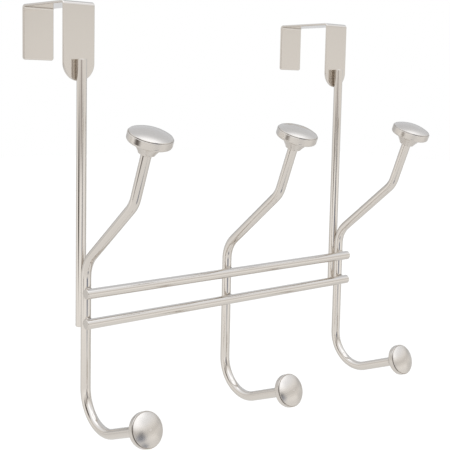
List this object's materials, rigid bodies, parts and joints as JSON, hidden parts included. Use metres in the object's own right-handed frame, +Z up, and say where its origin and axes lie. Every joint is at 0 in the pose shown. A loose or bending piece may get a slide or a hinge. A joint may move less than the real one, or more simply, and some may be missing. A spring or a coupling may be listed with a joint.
{
  "type": "over door hook rack",
  "caption": "Welded wire rack that hangs over the top of a door on folded straps, with upper and lower hooks that end in domed knobs.",
  "frame": {"origin": "where the door's top edge meets its front face, midway between the two brackets", "axes": "+X along the door to the right, +Y into the door from front to rear, +Z up"},
  "size_m": [0.2406, 0.1301, 0.2483],
  "materials": {
    "strap": "satin nickel plate on folded steel strap",
    "wire": "satin nickel plate on drawn steel wire",
    "knob": "satin nickel plate on turned steel"
  },
  "bodies": {
    "root": {"left_door_bracket": "strap", "left_upright": "wire", "right_door_bracket": "strap", "right_upright": "wire", "left_hook_wire": "wire", "left_upper_knob": "knob", "left_lower_knob": "knob", "centre_hook_wire": "wire", "centre_upper_knob": "knob", "centre_lower_knob": "knob", "right_hook_wire": "wire", "right_upper_knob": "knob", "right_lower_knob": "knob", "upper_crossbar": "wire", "lower_crossbar": "wire"}
  },
  "joints": []
}
